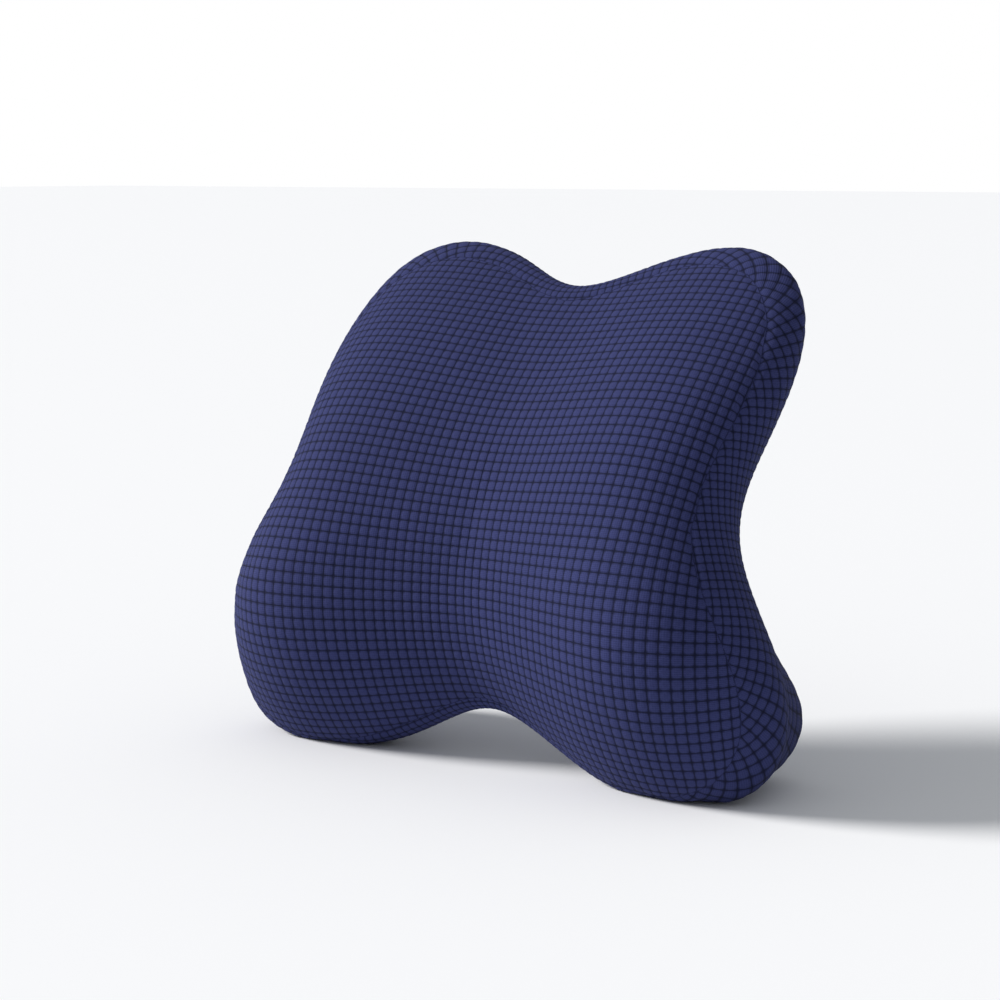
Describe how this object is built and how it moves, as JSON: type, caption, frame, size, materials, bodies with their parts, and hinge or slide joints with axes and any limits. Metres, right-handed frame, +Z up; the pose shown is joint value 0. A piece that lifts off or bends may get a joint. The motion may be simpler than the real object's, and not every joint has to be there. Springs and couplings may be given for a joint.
{
  "type": "lumbar support cushion",
  "caption": "Lobed foam back-support cushion in a zipped knit cover that stands on its lower lobes, with an elastic strap and side-release buckle across the back.",
  "frame": {"origin": "on the floor, midway across the cushion's width and depth", "axes": "+Z up, front (the side a back rests on) towards -Y, +X along the cushion's width"},
  "size_m": [0.454, 0.2023, 0.3538],
  "materials": {
    "navy_knit": "matte waffle knit",
    "foam": "open-cell moulded foam",
    "liner_knit": "thin plain knit",
    "zip_cloth": "woven tape",
    "zip_nylon": "satin nylon",
    "zip_metal": "dark satin",
    "webbing": "woven elastic",
    "buckle_plastic": "fine matte",
    "label_cloth": "plain satin tape"
  },
  "bodies": {
    "cushion": {"cover_front_panel": "navy_knit", "cover_rear_upper_panel": "navy_knit", "cover_rear_lower_panel": "navy_knit", "foam_core": "foam", "liner_front": "liner_knit", "liner_rear": "liner_knit", "zip_tape_upper": "zip_cloth", "zip_tape_lower": "zip_cloth", "zip_coil_upper": "zip_nylon", "zip_coil_lower": "zip_nylon", "zip_top_stop_upper": "zip_metal", "zip_top_stop_lower": "zip_metal", "zip_bottom_stop": "zip_metal", "strap_left": "webbing", "strap_right": "webbing", "buckle_socket": "buckle_plastic", "care_label": "label_cloth"},
    "slider": {"zip_slider": "zip_metal"},
    "pull": {"zip_pull": "zip_metal"},
    "prong": {"buckle_prong": "buckle_plastic"},
    "keeper": {"strap_keeper": "buckle_plastic"}
  },
  "joints": [
    {"name": "zip_slide", "type": "slide", "parent": "cushion", "child": "slider", "axis": [1, 0, 0], "range_m": [-0.182, 0]},
    {"name": "zip_pull_swing", "type": "hinge", "parent": "slider", "child": "pull", "pos_m": [0.0912, 0.03491, 0.17546], "axis": [0, -0.2369, -0.9715], "range_deg": [0, 170]},
    {"name": "buckle_release", "type": "slide", "parent": "cushion", "child": "prong", "axis": [1, 0, 0], "range_m": [0, 0.024], "deforming": ["strap_right"]},
    {"name": "keeper_slide", "type": "slide", "parent": "cushion", "child": "keeper", "axis": [1, 0, 0], "range_m": [-0.008, 0.006]}
  ]
}
